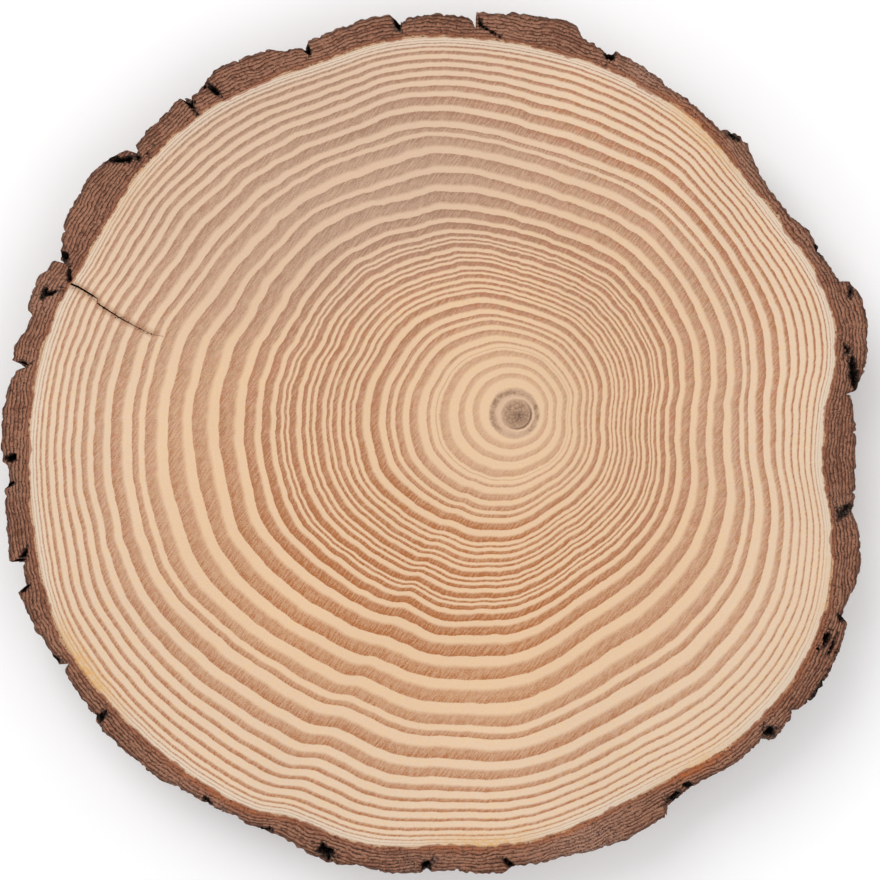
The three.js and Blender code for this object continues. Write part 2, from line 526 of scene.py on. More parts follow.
class RowMesh:
    """A closed skin made of rows of vertices that run round the slice."""

    def __init__(self) -> None:
        """Start with no rows."""
        self.points: list[np.ndarray] = []
        self.faces: list[np.ndarray] = []
        self.count = 0

    def add(self, points: np.ndarray) -> np.ndarray:
        """Add one row of vertices.

        Args:
            points: The row's places, in millimetres.

        Returns:
            The row's vertex numbers.
        """
        numbers = np.arange(self.count, self.count + len(points))
        self.points.append(points)
        self.count += len(points)
        return numbers

    def join(self, first: np.ndarray, second: np.ndarray) -> None:
        """Join two rows with faces, where one may have twice as many vertices.

        Args:
            first: The vertex numbers of the row nearer the middle of the upper face.
            second: The vertex numbers of the next row.
        """
        if len(first) == len(second):
            after_first, after_second = np.roll(first, -1), np.roll(second, -1)
            self.faces.append(np.stack([first, second, after_second, after_first], axis=1))
            return
        doubled = len(second) > len(first)
        fine, coarse = (second, first) if doubled else (first, second)
        even, odd, last = fine[0::2], fine[1::2], np.roll(fine[0::2], -1)
        following = np.roll(coarse, -1)
        fans = [(coarse, even, odd), (coarse, odd, following), (following, odd, last)]
        for fan in fans:
            corners = fan if doubled else fan[::-1]
            self.faces.append(np.stack(corners, axis=1))

    def close(self, row: np.ndarray, centre: np.ndarray, upward: bool) -> None:
        """Close the skin with a fan round one vertex.

        Args:
            row: The row to close.
            centre: Where the fan meets.
            upward: Whether the fan faces up.
        """
        middle = self.add(centre[None, :])
        hub = np.repeat(middle, len(row))
        following = np.roll(row, -1)
        corners = [hub, row, following] if upward else [hub, following, row]
        self.faces.append(np.stack(corners, axis=1))

    def build(self, name: str) -> bpy.types.Object:
        """Make the Blender object.

        Args:
            name: The piece's name.

        Returns:
            The piece, in metres.
        """
        points = np.concatenate(self.points) * MM
        faces = [corners for group in self.faces for corners in group.tolist()]
        mesh = bpy.data.meshes.new(name)
        mesh.from_pydata(points.tolist(), [], faces)
        mesh.update()
        piece = bpy.data.objects.new(name, mesh)
        bpy.context.scene.collection.objects.link(piece)
        return piece


def remember(mesh: bpy.types.Mesh, name: str, values: np.ndarray) -> None:
    """Store one number for each vertex, for the finish to read.

    Args:
        mesh: The mesh.
        name: What the number is called.
        values: The numbers, in vertex order.
    """
    layer = mesh.attributes.new(name, "FLOAT", "POINT")
    layer.data.foreach_set("value", values.astype(np.float32))


def unwrap(mesh: bpy.types.Mesh, places: Callable[[np.ndarray, np.ndarray], np.ndarray]) -> None:
    """Lay a mesh out flat, as the skin is cut and spread.

    Args:
        mesh: The mesh.
        places: Gives each corner's place on the flat sheet, from its vertex number and
            its face number.
    """
    corner_vertex = np.empty(len(mesh.loops), dtype=np.int32)
    mesh.loops.foreach_get("vertex_index", corner_vertex)
    totals = np.empty(len(mesh.polygons), dtype=np.int32)
    mesh.polygons.foreach_get("loop_total", totals)
    corner_face = np.repeat(np.arange(len(totals)), totals)
    layer = mesh.uv_layers.new(name=UV_NAME)
    layer.data.foreach_set("uv", places(corner_vertex, corner_face).astype(np.float32).ravel())


@dataclass
class SawnWood:
    """The wood inside the bark, sawn flat above and below."""

    HINTS: ClassVar[tuple[str, ...]] = ("age", "pace", "late", "tone", "warmth", "depth", "sap", "split")

    outline: Outline
    thickness: float
    pith: np.ndarray
    rings: GrowthRings = field(default_factory=GrowthRings)
    crack: DryingCrack = field(default_factory=DryingCrack)
    columns: int = 720
    fine_from: float = 54.0
    medium_from: float = 15.0
    row_gap: float = 2.4
    seam: float = 0.12
    overlap: float = 0.10

    def build(self) -> bpy.types.Object:
        """Build the wood.

        Returns:
            The piece, with its age and colour hints on every vertex.
        """
        extra = self.rings.reach_of(self.crack.step_depths, self.crack.step_angle)
        ages, reaches = self.rings.rows(self.row_gap, extra)
        step = FULL_TURN / self.columns
        angle = np.tile(np.arange(self.columns) * step, (len(reaches), 1))
        depth = self.outline.wood(angle) - self.rings.radius(reaches, angle)
        angle, opening = self.crack.bend(angle, depth, step)
        radius = self.rings.radius(reaches, angle)
        radius[-1] = self.outline.wood(angle[-1]) - self.seam
        picks = [slice(None, None, self.stride(reach)) for reach in reaches]
        skin = RowMesh()
        upper = self.face(skin, picks, self.places(angle, radius, self.thickness - opening))
        skin.close(upper[0], np.array([*self.pith, self.thickness]), upward=True)
        lower = self.face(skin, picks, self.places(angle, radius, opening))
        skin.close(lower[0], np.array([*self.pith, 0.0]), upward=False)
        side = self.side(skin, angle[-1])
        for first, second in zip(upper, upper[1:]):
            skin.join(first, second)
        for first, second in zip(lower, lower[1:]):
            skin.join(second, first)
        for first, second in zip([upper[-1], *side], [*side, lower[-1]]):
            skin.join(first, second)
        piece = skin.build("wood")
        hints = self.hints(ages, angle, radius, opening)
        self.store(piece.data, [hints[row, pick] for row, pick in enumerate(picks)])
        self.lay_flat(piece.data)
        return piece

    def stride(self, reach: float) -> int:
        """Return how many fine columns one column takes up, fewer near the pith."""
        if reach >= self.fine_from:
            return 1
        return 2 if reach >= self.medium_from else 4

    def places(self, angle: np.ndarray, radius: np.ndarray, height: np.ndarray) -> np.ndarray:
        """Turn angles and distances round the pith into places in the frame."""
        turn = np.radians(angle)
        x = self.pith[0] + radius * np.cos(turn)
        y = self.pith[1] + radius * np.sin(turn)
        return np.stack([x, y, height], axis=-1)

    def face(self, skin: RowMesh, picks: list[slice], places: np.ndarray) -> list[np.ndarray]:
        """Add the rows of one sawn face, from the pith outwards.

        Args:
            skin: The skin to add to.
            picks: Which columns each row has.
            places: The places of all columns, row by row.

        Returns:
            The rows' vertex numbers.
        """
        return [skin.add(row[pick]) for row, pick in zip(places, picks)]

    def side(self, skin: RowMesh, angle: np.ndarray) -> list[np.ndarray]:
        """Add the two rows of the side, which the bark hides, and return their numbers."""
        radius = self.outline.wood(angle) + self.overlap
        heights = (self.thickness - 2 * self.seam, 2 * self.seam)
        return [skin.add(self.places(angle, radius, np.full_like(angle, height))) for height in heights]

    def hints(
        self, ages: np.ndarray, angle: np.ndarray, radius: np.ndarray, opening: np.ndarray
    ) -> np.ndarray:
        """Work out what the finish needs to know.

        Args:
            ages: Each row's age in years.
            angle: Every vertex's angle.
            radius: Every vertex's distance from the pith.
            opening: How far each vertex drops into the crack.

        Returns:
            The hints in their order, side by side for every vertex.
        """
        years = [self.rings.years[index] for index in np.ceil(ages).astype(int) - 1]
        share = radius / self.outline.wood(angle)
        outer = smooth(0.70, 0.84, share)
        inner = smooth(0.12, 0.3, share)
        middle = inner * (1 - outer)
        heart = 1 - smooth(0.4, 0.6, share)
        rim = smooth(0.86, 0.93, share)
        late = np.array([[year.late] for year in years]) + (
            0.06 * lobe(angle, 130, 50) * smooth(0.4, 0.6, share)
            - 0.06 * lobe(angle, 232, 60) * smooth(0.45, 0.6, share)
            - 0.09 * outer * lobe(angle, 20, 75)
            - 0.06 * outer * lobe(angle, 325, 40)
            - 0.04 * inner * lobe(angle, 300, 40)
            + 0.08 * rim
        )
        tone = np.array([[year.tone] for year in years]) * (
            1.0
            + 0.16 * middle * lobe(angle, 226, 42)
            + 0.14 * inner * lobe(angle, 50, 90)
            + 0.08 * inner * heart
            + 0.24 * outer * lobe(angle, 50, 75)
            - 0.24 * outer * lobe(angle, 322, 34)
            + 0.22 * inner * heart * lobe(angle, 115, 80)
            + 0.16 * inner * heart * lobe(angle, 318, 50)
            - 0.16 * smooth(0.55, 0.7, share) * (1 - outer) * lobe(angle, 236, 50)
            + 0.12 * rim
        )
        warmth = (
            inner * lobe(angle, 232, 50) * (1 - 0.5 * smooth(0.55, 0.85, share))
            + 0.55 * inner * lobe(angle, 285, 40) * (1 - 0.5 * smooth(0.6, 0.85, share))
            + 0.50 * outer * lobe(angle, 20, 75)
            + 0.25 * outer * lobe(angle, 250, 60)
            - 0.65 * smooth(0.3, 0.6, share) * lobe(angle, 125, 48)
        )
        pace = np.gradient(ages)[:, None] / np.gradient(radius, axis=0)
        depth = self.outline.wood(angle) - radius
        sap = patched(SAPPY_PATCHES, angle) * (1 - smooth(0.6, 5.0, depth))
        # Where the crack is painted dark as shade: its opening, and a weaker share on the columns beside
        # it.
        split = np.clip(opening / self.crack.shallowest, 0.0, 1.0)
        beside = np.maximum(np.roll(split, 1, axis=1), np.roll(split, -1, axis=1))
        split = np.maximum(split, self.crack.lip_shade * beside)
        whole = np.broadcast_to(ages[:, None], angle.shape)
        return np.stack([whole, pace, late, tone, warmth, depth, sap, split], axis=-1)

    def store(self, mesh: bpy.types.Mesh, rows: list[np.ndarray]) -> None:
        """Store the hints on the mesh.

        Args:
            mesh: The mesh.
            rows: The hints of each row of a sawn face, from the pith outwards.
        """
        middle = rows[0][:1].copy()
        middle[0, self.HINTS.index("age")] = 0.0
        face = [*rows, middle]
        hints = np.concatenate([*face, *face, rows[-1], rows[-1]])
        for column, name in enumerate(self.HINTS):
            remember(mesh, name, hints[:, column])

    def lay_flat(self, mesh: bpy.types.Mesh) -> None:
        """Lay the faces out as two discs, the upper one larger, with the side in a corner."""
        points = np.empty(len(mesh.vertices) * 3, dtype=np.float32)
        mesh.vertices.foreach_get("co", points)
        points = points.reshape(-1, 3) / MM
        normals = np.empty(len(mesh.polygons) * 3, dtype=np.float32)
        mesh.polygons.foreach_get("normal", normals)
        facing = normals.reshape(-1, 3)[:, 2]
        middle = (points[:, :2].min(axis=0) + points[:, :2].max(axis=0)) / 2
        half = np.ptp(points[:, :2], axis=0).max() / 2
        flat = (points[:, :2] - middle) / half
        turn = np.arctan2(flat[:, 1], flat[:, 0]) / (2 * np.pi) % 1.0
        first_side = len(mesh.polygons) - 3 * self.columns

        def places(vertex: np.ndarray, face: np.ndarray) -> np.ndarray:
            """Place each corner on the disc or strip that its face belongs to."""
            upper = 0.365 + 0.36 * flat[vertex]
            lower = 0.785 + 0.21 * flat[vertex] * np.array([-1.0, 1.0])
            strip = np.stack([0.62 + 0.37 * turn[vertex], 0.02 + 0.0006 * points[vertex, 2]], axis=-1)
            placed = np.where((facing[face] > 0)[:, None], upper, lower)
            return np.where((face >= first_side)[:, None], strip, placed)

        unwrap(mesh, places)


@dataclass(frozen=True)
class Crevice:
    """A gap or pit in the bark, seen on the sawn face, sunk into it and painted dark as shade.

    Across and along are half its width round the slice and half its length outwards,
    and lean is how far it drifts sideways for each millimetre outwards.
    """

    angle: float
    rise: float
    across: float
    along: float
    lean: float = 0.0
    depth: float = 5.0


CREVICES = (
    Crevice(5.9, 5.9, 2.6, 2.3, -2.2, 6.0),
    Crevice(10.4, 3.1, 0.7, 0.9, -1.2, 3.0),
    Crevice(19.3, 6.8, 1.1, 0.6, 0.6, 2.0),
    Crevice(27.8, 3.9, 1.9, 0.55, 0.4, 3.0),
    Crevice(51.6, 4.6, 1.5, 0.8, -1.0, 2.0),
    Crevice(74.9, 3.6, 1.2, 1.3, -0.5, 4.0),
    Crevice(93.7, 2.6, 0.5, 1.6, 1.9, 3.0),
    Crevice(95.0, 4.4, 0.6, 1.2, 0.4, 3.0),
    Crevice(106.9, 4.6, 0.8, 1.9, 0.0, 5.0),
    Crevice(120.0, 5.1, 0.9, 1.9, 0.1, 6.0),
    Crevice(133.2, 4.2, 0.75, 2.6, 0.1, 6.0),
    Crevice(136.7, 4.4, 0.6, 2.4, -0.2, 6.0),
    Crevice(147.4, 6.0, 1.1, 3.4, 0.9, 5.0),
    Crevice(161.2, 5.6, 0.9, 1.6, -0.5, 4.0),
    Crevice(163.2, 1.6, 0.7, 1.7, -1.8, 4.0),
    Crevice(165.9, 3.6, 0.7, 1.9, 0.6, 4.0),
    Crevice(166.0, 5.4, 2.1, 0.5, 0.0, 2.5),
    Crevice(174.8, 5.4, 0.55, 2.4, 0.2, 5.0),
    Crevice(185.5, 5.0, 0.9, 1.3, 0.0, 9.0),
    Crevice(188.4, 5.2, 0.45, 1.5, 0.1, 4.0),
    Crevice(196.5, 4.2, 0.8, 1.7, 1.0, 5.0),
    Crevice(200.1, 5.2, 0.45, 1.4, 0.3, 4.0),
    Crevice(208.6, 4.2, 1.0, 0.6, 0.0, 2.5),
    Crevice(216.6, 4.2, 1.1, 1.3, 0.1, 4.0),
    Crevice(231.9, 3.4, 1.5, 0.6, 0.6, 2.0),
    Crevice(239.3, 4.9, 1.6, 0.5, 0.5, 1.5),
    Crevice(247.0, 5.3, 2.2, 1.7, 0.2, 7.0),
    Crevice(259.1, 5.2, 1.6, 1.2, -0.2, 6.0),
    Crevice(269.4, 5.4, 0.9, 1.6, 1.0, 6.0),
    Crevice(292.2, 4.9, 2.0, 0.9, -0.5, 2.5),
    Crevice(294.7, 3.7, 0.9, 1.2, 0.8, 3.0),
    Crevice(308.4, 4.4, 1.6, 1.5, 0.2, 6.0),
    Crevice(317.0, 7.4, 7.0, 0.5, 0.0, 1.0),
    Crevice(323.8, 3.1, 2.0, 0.8, 0.2, 6.0),
    Crevice(323.4, 5.3, 2.2, 0.45, 1.5, 3.0),
    Crevice(327.4, 5.2, 1.0, 0.8, 0.0, 2.5),
    Crevice(343.0, 4.9, 1.1, 2.6, 0.8, 2.0),
)

GRITTY_PATCHES = (
    Patch(69.0, 3.5, 0.9), Patch(279.5, 6.0, 1.0), Patch(258.0, 4.0, 0.45),
    Patch(232.0, 3.5, 0.5), Patch(47.0, 5.0, 0.45), Patch(27.0, 3.0, 0.35),
    Patch(343.5, 2.0, 0.5), Patch(308.0, 2.0, 0.5), Patch(166.0, 2.5, 0.45),
)

# Where the bark next to the wood is still bright orange-brown.
FRESH_PATCHES = (
    Patch(233.0, 9.0, 0.55), Patch(277.0, 6.0, 0.6), Patch(297.0, 5.0, 1.0),
    Patch(262.0, 5.0, 0.35), Patch(318.0, 12.0, 0.3), Patch(58.0, 9.0, 0.4),
)

# Where the ends of the plates lean sideways over the gap beside them.
LEANING_ENDS = (
    Patch(19.6, 1.6, 1.0), Patch(3.9, 1.4, -0.7), Patch(94.8, 1.4, 0.5),
    Patch(147.0, 1.2, -0.4), Patch(163.0, 1.0, -0.7), Patch(208.4, 1.2, 0.7),
    Patch(326.6, 1.0, 0.7), Patch(232.8, 1.2, 0.6), Patch(106.8, 1.2, -0.5),
    Patch(161.2, 1.0, 0.5), Patch(196.0, 1.2, 0.5), Patch(307.0, 1.4, -0.7),
)


@dataclass
class Bark:
    """The bark round the slice: sawn flat above and below, flaky and fissured outside."""

    # The crevice hint is painted shade: how dark each crevice is painted.
    HINTS: ClassVar[tuple[str, ...]] = ("rise", "shell", "crevice_shade", "grit", "fresh", "side")

    outline: Outline
    thickness: float
    pith: np.ndarray
    columns: int = 1600
    face_rows: int = 14
    side_rows: int = 30
    under_rows: int = 9
    seam: float = 0.12
    overlap: float = 0.05
    flake: float = 1.5
    wander: float = 1.5
    thinnest: float = 1.0
    usual_rise: float = 5.0
    crevices: tuple[Crevice, ...] = CREVICES

    def build(self) -> bpy.types.Object:
        """Build the bark.

        Returns:
            The piece, with its colour hints on every vertex.
        """
        angle = np.arange(self.columns) * FULL_TURN / self.columns
        parts = [self.end_face(angle, True), self.side(angle), self.end_face(angle, False)]
        skin = RowMesh()
        hints: list[np.ndarray] = []
        rows: list[np.ndarray] = []
        for turned_angle, rise, height, hint in parts:
            for row in range(len(rise)):
                rows.append(skin.add(self.places(turned_angle[row], rise[row], height[row])))
                hints.append(hint[row])
        for first, second in zip(rows, rows[1:] + rows[:1]):
            skin.join(first, second)
        piece = skin.build("bark")
        stored = np.concatenate(hints)
        for column, name in enumerate(self.HINTS):
            remember(piece.data, name, stored[:, column])
        self.lay_flat(piece.data)
        return piece

    def places(self, angle: np.ndarray, rise: np.ndarray, height: np.ndarray) -> np.ndarray:
        """Turn angles and rises above the wood into places in the frame."""
        turn = np.radians(angle)
        radius = self.outline.wood(angle) + rise
        x = self.pith[0] + radius * np.cos(turn)
        y = self.pith[1] + radius * np.sin(turn)
        return np.stack([x, y, height], axis=-1)

    def around(self, angle: np.ndarray, rise: np.ndarray, height: np.ndarray, size: float) -> np.ndarray:
        """Place points for reading noise, with features of about the given size."""
        return self.places(angle, rise, height) / size

    def edge(self, angle: np.ndarray, below: np.ndarray) -> np.ndarray:
        """Work out the outside of the bark.

        Args:
            angle: The angle of each point.
            below: How far below the upper face each point lies.

        Returns:
            How far the bark rises from the wood there.
        """
        still = np.zeros_like(angle)
        deep = smooth(0.0, 7.0, below)
        drift = Noise(21).layered(self.around(angle, still, below, 17.0), 2)
        base = self.outline.bark(angle + self.wander * drift * deep)
        broad = Noise(22).layered(self.around(angle, still, 0.55 * below, 7.5), 2)
        fine = Noise(23).layered(self.around(angle, still, 0.7 * below, 2.1), 3)
        split = Noise(24).at(self.around(angle, still, 0.22 * below, 6.5))
        fissure = np.clip(1 - np.abs(split) / 0.10, 0, 1) * smooth(4.0, 7.0, base)
        raised = base + (0.25 + 1.15 * deep) * broad - (0.5 + 1.6 * deep) * fissure
        steps = raised / self.flake + 0.35 * fine
        whole = np.floor(steps)
        stepped = self.flake * (whole + smooth(0.30, 0.70, steps - whole) - 0.35 * fine)
        mixed = raised + (stepped - raised) * (0.35 + 0.45 * deep)
        jagged = Noise(25).at(self.around(angle, still, below, 1.3)) * (0.5 - 0.2 * deep)
        undercut = 0.035 * below * smooth(0.0, self.thickness, below) * base / self.usual_rise
        worn = mixed + 0.22 * fine + jagged - undercut
        return np.maximum(worn, self.thinnest)

    def darkness(self, angle: np.ndarray, rise: np.ndarray) -> tuple[np.ndarray, np.ndarray]:
        """Find the crevices and the painted shade in them.

        Args:
            angle: The angle of each point.
            rise: How far each point is from the wood.

        Returns:
            How deep the sawn face drops there, and how strongly the bark is painted dark as shade.
        """
        still = np.zeros_like(angle)
        ragged = Noise(31).layered(self.around(angle, rise, still, 1.7), 3)
        drop = np.zeros_like(angle)
        black = np.zeros_like(angle)
        radius = self.outline.wood(angle) + rise
        for crevice in self.crevices:
            arc = np.radians(turned(angle, crevice.angle)) * radius
            outwards = rise - crevice.rise
            sideways = (arc - crevice.lean * outwards) / crevice.across
            apart = np.hypot(sideways, outwards / crevice.along) * (1 + 1.0 * ragged)
            drop = np.maximum(drop, crevice.depth * (1 - smooth(0.45, 0.95, apart)))
            black = np.maximum(black, 1 - smooth(0.55, 1.9, apart))
        return drop, black

    def end_face(self, angle: np.ndarray, upper: bool) -> tuple[np.ndarray, ...]:
        """Lay out one sawn face of the bark.

        Args:
            angle: The columns' angles.
            upper: Whether it is the upper face.

        Returns:
            Every vertex's angle, rise, height and hints, row by row, in the order in
            which the skin runs: outwards above, inwards below.
        """
        below = np.full_like(angle, 0.0 if upper else self.thickness)
        outside = self.edge(angle, below)
        count = self.face_rows if upper else self.under_rows
        share = np.linspace(0.0, 1.0, count)[:, None]
        rise = self.seam + (outside - self.seam) * share
        grid = np.broadcast_to(angle, rise.shape)
        bent = grid + patched(LEANING_ENDS, grid) * share**2 * (1.0 if upper else 0.6)
        drop, black = self.darkness(bent, rise)
        still = np.zeros_like(rise)
        chips = Noise(33 if upper else 34).layered(self.around(bent, rise, still, 1.6), 2)
        chipped = (0.12 + 0.3 * share) * np.clip(chips, 0, 1)
        relief = chipped + 0.2 * share**4 + drop * smooth(0.0, 0.06, share)
        height = self.thickness - relief if upper else relief
        hint = self.hints(bent, rise, outside - rise, black, still)
        tuck = np.full_like(angle, self.thickness - 2 * self.seam if upper else 2 * self.seam)
        tucked = (angle, np.full_like(angle, -self.overlap), tuck, hint[0])
        rows = (bent, rise, height, hint)
        if upper:
            return tuple(np.concatenate([one[None], many]) for one, many in zip(tucked, rows))
        return tuple(np.concatenate([many[::-1], one[None]]) for one, many in zip(tucked, rows))

    def side(self, angle: np.ndarray) -> tuple[np.ndarray, ...]:
        """Lay out the outside of the bark, from the upper face down.

        Args:
            angle: The columns' angles.

        Returns:
            Every vertex's angle, rise, height and hints, row by row.
        """
        share = (np.arange(self.side_rows) + 0.5) / self.side_rows
        below = (self.thickness * share)[:, None] + np.zeros_like(angle)
        grid = np.broadcast_to(angle, below.shape)
        rise = self.edge(grid, below)
        lean = patched(LEANING_ENDS, grid) * (1 - 0.4 * share[:, None])
        # The crevices' painted shade runs a little way down the outside next to each sawn face.
        black = self.darkness(grid, np.minimum(rise, self.outline.bark(grid)))[1]
        black = 0.8 * black * (1 - smooth(1.0, 9.0, np.minimum(below, self.thickness - below)))
        hint = self.hints(grid, rise, np.zeros_like(rise), black, np.ones_like(rise))
        return grid + lean, rise, self.thickness - below, hint

    def hints(
        self, angle: np.ndarray, rise: np.ndarray, shell: np.ndarray, black: np.ndarray, side: np.ndarray
    ) -> np.ndarray:
        """Gather what the finish needs to know.

        Args:
            angle: Every vertex's angle.
            rise: Every vertex's distance from the wood.
            shell: Every vertex's distance from the outside.
            black: How strongly each crevice is painted dark as shade.
            side: Whether a vertex is on the outside rather than on a sawn face.

        Returns:
            The hints in their order, side by side for every vertex.
        """
        grit = patched(GRITTY_PATCHES, angle) * smooth(0.3, 1.6, rise)
        fresh = patched(FRESH_PATCHES, angle) * (1 - smooth(0.6, 3.0, rise))
        fresh = fresh + 0.15 * (1 - smooth(0.2, 1.4, rise))
        return np.stack([rise, shell, black, grit, fresh, side], axis=-1)

    def lay_flat(self, mesh: bpy.types.Mesh) -> None:
        """Lay the skin out as four strips, one for each quarter of the way round."""
        quarter = self.columns // 4
        rows = len(mesh.vertices) // self.columns
        shares = np.linspace(0.0, 1.0, rows + 1)

        def places(vertex: np.ndarray, face: np.ndarray) -> np.ndarray:
            """Place each corner along its quarter's strip."""
            start_column = face % self.columns
            start_row = face // self.columns
            column = (vertex % self.columns - start_column) % self.columns + start_column
            row = (vertex // self.columns - start_row) % rows + start_row
            strip = start_column // quarter
            across = (column - strip * quarter) / quarter
            upwards = (strip + 0.02 + 0.96 * shares[row]) / 4
            return np.stack([0.005 + 0.99 * across, upwards], axis=-1)

        unwrap(mesh, places)


# How brightly the studio lights a level surface, against plain white paper.
STUDIO_LIGHT = 1.12


def paint(red: int, green: int, blue: int) -> tuple[float, float, float, float]:
    """Turn a colour as it is to look under the studio's light, 0 to 255, into paint."""
    shares = [channel / 255 for channel in (red, green, blue)]
    light = [c / 12.92 if c <= 0.04045 else ((c + 0.055) / 1.055) ** 2.4 for c in shares]
    return (*(c / STUDIO_LIGHT for c in light), 1.0)


Socket = bpy.types.NodeSocket
Value = bpy.types.NodeSocket | float | tuple[float, ...]


class Nodes:
    """Lays out the nodes of one material or node group."""

    def __init__(self, tree: bpy.types.NodeTree) -> None:
        """Work on a tree.

        Args:
            tree: The material's or group's tree.
        """
        self.tree = tree

    def add(self, kind: str, **settings: object) -> bpy.types.Node:
        """Add a node.

        Args:
            kind: The node's type.
            **settings: The node's own properties.

        Returns:
            The node.
        """
        node = self.tree.nodes.new(kind)
        for name, value in settings.items():
            setattr(node, name, value)
        return node

    def put(self, socket: Socket, value: Value) -> None:
        """Link a socket, or set it where the value is a constant."""
        if isinstance(value, bpy.types.NodeSocket):
            self.tree.links.new(value, socket)
        else:
            socket.default_value = value

    def math(self, operation: str, first: Value, second: Value = 0.0) -> Socket:
        """Combine two numbers with one operation."""
        node = self.add("ShaderNodeMath", operation=operation)
        self.put(node.inputs[0], first)
        self.put(node.inputs[1], second)
        return node.outputs[0]

    def times(self, first: Value, second: Value) -> Socket:
        """Multiply two numbers."""
        return self.math("MULTIPLY", first, second)

    def plus(self, first: Value, second: Value) -> Socket:
        """Add two numbers."""
        return self.math("ADD", first, second)

    def vector(self, operation: str, first: Value, second: Value) -> bpy.types.Node:
        """Combine two vectors with one operation, and return its node."""
        node = self.add("ShaderNodeVectorMath", operation=operation)
        self.put(node.inputs[0], first)
        self.put(node.inputs[1], second)
        return node

    def mix(self, share: Value, first: Value, second: Value) -> Socket:
        """Blend two colours.

        Args:
            share: How much of the second colour there is.
            first: The colour at 0.
            second: The colour at 1.

        Returns:
            The blended colour.
        """
        node = self.add("ShaderNodeMix", data_type="RGBA", blend_type="MIX", clamp_factor=True)
        self.put(node.inputs[0], share)
        self.put(node.inputs[6], first)
        self.put(node.inputs[7], second)
        return node.outputs[2]

    def rise(self, value: Value, low: Value, high: Value, start: float = 0.0, end: float = 1.0) -> Socket:
        """Rise smoothly between two limits.

        Args:
            value: What is measured.
            low: Where the rise starts.
            high: Where it ends.
            start: The result below the lower limit.
            end: The result above the upper limit.

        Returns:
            The result.
        """
        node = self.add("ShaderNodeMapRange", interpolation_type="SMOOTHSTEP")
        for socket, amount in zip(node.inputs, (value, low, high, start, end)):
            self.put(socket, amount)
        return node.outputs[0]

    def noise(self, place: Socket, scale: float, detail: float = 2.0, roughness: float = 0.5) -> Socket:
        """Add cloudy noise, from 0 to 1.

        Args:
            place: Where it is read, in millimetres.
            scale: How many features there are in a millimetre.
            detail: How many finer layers it has.
            roughness: How strong the finer layers are.

        Returns:
            The noise.
        """
        node = self.add("ShaderNodeTexNoise")
        self.put(node.inputs["Vector"], place)
        self.put(node.inputs["Scale"], scale)
        self.put(node.inputs["Detail"], detail)
        self.put(node.inputs["Roughness"], roughness)
        return node.outputs[0]

    def swing(self, place: Socket, scale: float, amount: float, detail: float = 2.0) -> Socket:
        """Add noise that swings by an amount to either side of 0."""
        centred = self.math("SUBTRACT", self.noise(place, scale, detail), 0.5)
        return self.times(centred, 2 * amount)

    def hint(self, name: str) -> Socket:
        """Read one of the numbers stored on the vertices."""
        return self.add("ShaderNodeAttribute", attribute_name=name).outputs["Fac"]

    def place(self) -> Socket:
        """Return the point's place in the frame, in millimetres."""
        coordinates = self.add("ShaderNodeTexCoord").outputs["Object"]
        return self.vector("MULTIPLY", coordinates, (1 / MM,) * 3).outputs[0]

    def group(self, tree: bpy.types.NodeTree, **values: Value) -> bpy.types.Node:
        """Place a node group.

        Args:
            tree: The group.
            **values: Its inputs, with their names in lower case.

        Returns:
            The group's node.
        """
        node = self.add("ShaderNodeGroup", node_tree=tree)
        for name, value in values.items():
            self.put(node.inputs[name.capitalize()], value)
        return node


def open_group(name: str, inputs: dict[str, float | None], outputs: tuple[str, ...]) -> bpy.types.NodeTree:
    """Start a shader node group.

    Args:
        name: The group's name.
        inputs: Its inputs: a number's starting value, or None for a vector.
        outputs: Its outputs, which are all numbers.

    Returns:
        The group.
    """
    tree = bpy.data.node_groups.new(name, "ShaderNodeTree")
    for label, start in inputs.items():
        kind = "NodeSocketVector" if start is None else "NodeSocketFloat"
        socket = tree.interface.new_socket(name=label, in_out="INPUT", socket_type=kind)
        if start is not None:
            socket.default_value = start
    for label in outputs:
        tree.interface.new_socket(name=label, in_out="OUTPUT", socket_type="NodeSocketFloat")
    return tree


@dataclass(frozen=True)
class SawMarks:
    """The fine parallel scratches that the saw left across the whole face."""

    direction: float = 54.0
    spread: float = 5.0

    def group(self) -> bpy.types.NodeTree:
        """Build the group.

        Returns:
            A group that gives fine bright scratches and the height of the saw's furrows.
        """
        tree = open_group("saw marks", {"Place": None, "Fineness": 1.0}, ("Scratch", "Hatch", "Height"))
        nodes = Nodes(tree)
        given = nodes.add("NodeGroupInput")
        place = nodes.vector("MULTIPLY", given.outputs["Place"], given.outputs["Fineness"]).outputs[0]
        scratches = []
        for index, turn in enumerate((-self.spread, 0.0, self.spread)):
            along = self.along(nodes, place, self.direction + turn, (0.08, 2.6 + 0.6 * index, 1.0))
            streak = nodes.noise(along, 1.0, 1.0)
            scratches.append(nodes.rise(streak, 0.62, 0.74))
        scratch = nodes.math("MAXIMUM", nodes.math("MAXIMUM", scratches[0], scratches[1]), scratches[2])
        hatch_place = self.along(nodes, place, self.direction, (0.30, 2.1, 1.0))
        hatch = nodes.rise(nodes.noise(hatch_place, 1.0, 2.0, 0.6), 0.34, 0.66)
        furrow_place = self.along(nodes, place, self.direction + 1.0, (0.02, 1.4, 1.0))
        furrow = nodes.noise(furrow_place, 1.0, 2.0, 0.6)
        height = nodes.math("SUBTRACT", furrow, nodes.times(scratch, 0.3))
        result = nodes.add("NodeGroupOutput")
        for label, value in (("Scratch", scratch), ("Hatch", hatch), ("Height", height)):
            nodes.put(result.inputs[label], value)
        return tree

    def along(
        self, nodes: Nodes, place: Socket, direction: float, squeeze: tuple[float, float, float]
    ) -> Socket:
        """Turn a place to lie along the scratches and stretch it."""
        turn = nodes.add("ShaderNodeVectorRotate", rotation_type="Z_AXIS")
        nodes.put(turn.inputs["Vector"], place)
        turn.inputs["Angle"].default_value = -math.radians(direction)
        return nodes.vector("MULTIPLY", turn.outputs[0], squeeze).outputs[0]


